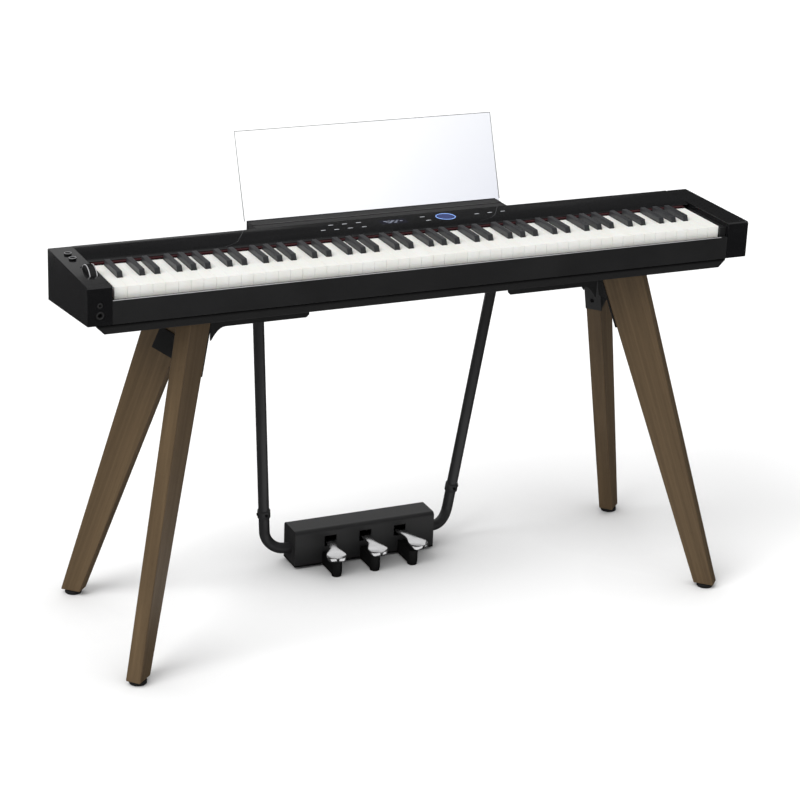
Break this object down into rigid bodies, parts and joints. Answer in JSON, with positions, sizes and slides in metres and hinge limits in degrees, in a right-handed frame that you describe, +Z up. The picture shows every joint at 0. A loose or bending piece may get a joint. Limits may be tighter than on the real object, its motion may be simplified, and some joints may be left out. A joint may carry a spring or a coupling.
{
  "type": "digital piano on stand",
  "caption": "Slim full-size digital piano with hinged keys on a splayed wooden four-leg stand, with clear music rest and a three-pedal unit on pipes.",
  "frame": {"origin": "on the floor, under the middle of the four legs", "axes": "+X towards the treble end, +Y to the back, +Z up"},
  "size_m": [1.34, 0.4526, 0.9056],
  "materials": {
    "gloss_black": "gloss",
    "case_black": "satin",
    "white_key": "satin",
    "black_key": "satin",
    "felt": "felt",
    "display": "gloss",
    "ring_glow": "translucent",
    "control_black": "satin",
    "steel_black": "powder coat",
    "wood": "satin veneer",
    "rubber": "matte",
    "chrome": "polished",
    "pedal_box_grey": "satin",
    "circuit": "matte",
    "clear": "clear acrylic"
  },
  "bodies": {
    "stand_and_case": {"cheek_left": "gloss_black", "cheek_right": "gloss_black", "bottom_case": "case_black", "keyslip": "case_black", "top_panel": "gloss_black", "felt_strip": "felt", "display_window": "display", "touch_ring": "ring_glow", "phone_jack_small": "control_black", "phone_jack_large": "control_black", "rear_socket_panel": "case_black", "key_frame": "case_black", "contact_board": "circuit", "main_board": "circuit", "speaker_left": "control_black", "speaker_right": "control_black", "rest_holder": "case_black", "front_rail": "steel_black", "rear_bar": "steel_black", "side_plate_left": "steel_black", "side_plate_right": "steel_black", "corner_bracket_left": "steel_black", "corner_bracket_right": "steel_black", "leg_front_left": "wood", "leg_front_right": "wood", "leg_back_left": "wood", "leg_back_right": "wood", "leg_pad_front_left": "rubber", "leg_pad_front_right": "rubber", "leg_pad_back_left": "rubber", "leg_pad_back_right": "rubber", "pedal_box": "pedal_box_grey", "pedal_base": "case_black", "upper_pipe_left": "steel_black", "upper_pipe_right": "steel_black", "lower_pipe_left": "steel_black", "lower_pipe_right": "steel_black"},
    "white_keys_bass_body": {"white_keys_bass": "white_key"},
    "black_keys_bass_body": {"black_keys_bass": "black_key"},
    "key_C_body": {"key_C": "white_key"},
    "key_D_body": {"key_D": "white_key"},
    "key_E_body": {"key_E": "white_key"},
    "key_F_body": {"key_F": "white_key"},
    "key_G_body": {"key_G": "white_key"},
    "key_A_body": {"key_A": "white_key"},
    "key_B_body": {"key_B": "white_key"},
    "key_C_sharp_body": {"key_C_sharp": "black_key"},
    "key_D_sharp_body": {"key_D_sharp": "black_key"},
    "key_F_sharp_body": {"key_F_sharp": "black_key"},
    "key_G_sharp_body": {"key_G_sharp": "black_key"},
    "key_A_sharp_body": {"key_A_sharp": "black_key"},
    "white_keys_treble_body": {"white_keys_treble": "white_key"},
    "black_keys_treble_body": {"black_keys_treble": "black_key"},
    "pedal_left_body": {"pedal_left": "chrome"},
    "pedal_middle_body": {"pedal_middle": "chrome"},
    "pedal_right_body": {"pedal_right": "chrome"},
    "knob_rear_body": {"knob_rear": "control_black"},
    "knob_front_body": {"knob_front": "control_black"},
    "bend_wheel_body": {"bend_wheel": "control_black"},
    "music_rest_body": {"music_rest": "clear"}
  },
  "joints": [
    {"name": "white_keys_bass_press", "type": "hinge", "parent": "stand_and_case", "child": "white_keys_bass_body", "pos_m": [0, 0.0813, 0.715], "axis": [1, 0, 0], "range_deg": [0, 2.8], "stiffness_Nm_per_rad": 37.219, "springref_deg": -5.44},
    {"name": "black_keys_bass_press", "type": "hinge", "parent": "stand_and_case", "child": "black_keys_bass_body", "pos_m": [0, 0.0813, 0.715], "axis": [1, 0, 0], "range_deg": [0, 2.8], "stiffness_Nm_per_rad": 11.654, "springref_deg": -5.44},
    {"name": "key_C_press", "type": "hinge", "parent": "stand_and_case", "child": "key_C_body", "pos_m": [0, 0.0813, 0.715], "axis": [1, 0, 0], "range_deg": [0, 2.8], "stiffness_Nm_per_rad": 1.5863, "springref_deg": -5.44},
    {"name": "key_D_press", "type": "hinge", "parent": "stand_and_case", "child": "key_D_body", "pos_m": [0, 0.0813, 0.715], "axis": [1, 0, 0], "range_deg": [0, 2.8], "stiffness_Nm_per_rad": 1.5863, "springref_deg": -5.44},
    {"name": "key_E_press", "type": "hinge", "parent": "stand_and_case", "child": "key_E_body", "pos_m": [0, 0.0813, 0.715], "axis": [1, 0, 0], "range_deg": [0, 2.8], "stiffness_Nm_per_rad": 1.5863, "springref_deg": -5.44},
    {"name": "key_F_press", "type": "hinge", "parent": "stand_and_case", "child": "key_F_body", "pos_m": [0, 0.0813, 0.715], "axis": [1, 0, 0], "range_deg": [0, 2.8], "stiffness_Nm_per_rad": 1.5863, "springref_deg": -5.44},
    {"name": "key_G_press", "type": "hinge", "parent": "stand_and_case", "child": "key_G_body", "pos_m": [0, 0.0813, 0.715], "axis": [1, 0, 0], "range_deg": [0, 2.8], "stiffness_Nm_per_rad": 1.5863, "springref_deg": -5.44},
    {"name": "key_A_press", "type": "hinge", "parent": "stand_and_case", "child": "key_A_body", "pos_m": [0, 0.0813, 0.715], "axis": [1, 0, 0], "range_deg": [0, 2.8], "stiffness_Nm_per_rad": 1.5863, "springref_deg": -5.44},
    {"name": "key_B_press", "type": "hinge", "parent": "stand_and_case", "child": "key_B_body", "pos_m": [0, 0.0813, 0.715], "axis": [1, 0, 0], "range_deg": [0, 2.8], "stiffness_Nm_per_rad": 1.5863, "springref_deg": -5.44},
    {"name": "key_C_sharp_press", "type": "hinge", "parent": "stand_and_case", "child": "key_C_sharp_body", "pos_m": [0, 0.0813, 0.715], "axis": [1, 0, 0], "range_deg": [0, 2.8], "stiffness_Nm_per_rad": 0.6971, "springref_deg": -5.44},
    {"name": "key_D_sharp_press", "type": "hinge", "parent": "stand_and_case", "child": "key_D_sharp_body", "pos_m": [0, 0.0813, 0.715], "axis": [1, 0, 0], "range_deg": [0, 2.8], "stiffness_Nm_per_rad": 0.6971, "springref_deg": -5.44},
    {"name": "key_F_sharp_press", "type": "hinge", "parent": "stand_and_case", "child": "key_F_sharp_body", "pos_m": [0, 0.0813, 0.715], "axis": [1, 0, 0], "range_deg": [0, 2.8], "stiffness_Nm_per_rad": 0.6971, "springref_deg": -5.44},
    {"name": "key_G_sharp_press", "type": "hinge", "parent": "stand_and_case", "child": "key_G_sharp_body", "pos_m": [0, 0.0813, 0.715], "axis": [1, 0, 0], "range_deg": [0, 2.8], "stiffness_Nm_per_rad": 0.6971, "springref_deg": -5.44},
    {"name": "key_A_sharp_press", "type": "hinge", "parent": "stand_and_case", "child": "key_A_sharp_body", "pos_m": [0, 0.0813, 0.715], "axis": [1, 0, 0], "range_deg": [0, 2.8], "stiffness_Nm_per_rad": 0.6971, "springref_deg": -5.44},
    {"name": "white_keys_treble_press", "type": "hinge", "parent": "stand_and_case", "child": "white_keys_treble_body", "pos_m": [0, 0.0813, 0.715], "axis": [1, 0, 0], "range_deg": [0, 2.8], "stiffness_Nm_per_rad": 35.857, "springref_deg": -5.44},
    {"name": "black_keys_treble_press", "type": "hinge", "parent": "stand_and_case", "child": "black_keys_treble_body", "pos_m": [0, 0.0813, 0.715], "axis": [1, 0, 0], "range_deg": [0, 2.8], "stiffness_Nm_per_rad": 10.915, "springref_deg": -5.44},
    {"name": "pedal_left_press", "type": "hinge", "parent": "stand_and_case", "child": "pedal_left_body", "pos_m": [-0.06749, 0.1893, 0.05569], "axis": [1, 0, 0], "range_deg": [0, 5.5], "stiffness_Nm_per_rad": 12, "springref_deg": -6.88},
    {"name": "pedal_middle_press", "type": "hinge", "parent": "stand_and_case", "child": "pedal_middle_body", "pos_m": [0, 0.1893, 0.05569], "axis": [1, 0, 0], "range_deg": [0, 5.5], "stiffness_Nm_per_rad": 12, "springref_deg": -6.88},
    {"name": "pedal_right_press", "type": "hinge", "parent": "stand_and_case", "child": "pedal_right_body", "pos_m": [0.06749, 0.1893, 0.05569], "axis": [1, 0, 0], "range_deg": [0, 5.5], "stiffness_Nm_per_rad": 12, "springref_deg": -6.88},
    {"name": "knob_rear_turn", "type": "hinge", "parent": "stand_and_case", "child": "knob_rear_body", "pos_m": [-0.6464, 0.0577, 0.745], "axis": [0, 0, 1], "range_deg": [-150, 150]},
    {"name": "knob_front_turn", "type": "hinge", "parent": "stand_and_case", "child": "knob_front_body", "pos_m": [-0.6464, 0.0284, 0.745], "axis": [0, 0, 1], "range_deg": [-150, 150]},
    {"name": "bend_wheel_turn", "type": "hinge", "parent": "stand_and_case", "child": "bend_wheel_body", "pos_m": [-0.638, -0.0467, 0.729], "axis": [1, 0, 0], "range_deg": [-40, 40], "stiffness_Nm_per_rad": 0.05},
    {"name": "music_rest_lift", "type": "slide", "parent": "stand_and_case", "child": "music_rest_body", "axis": [0, 0.342, 0.9397], "range_m": [0, 0.06]}
  ]
}
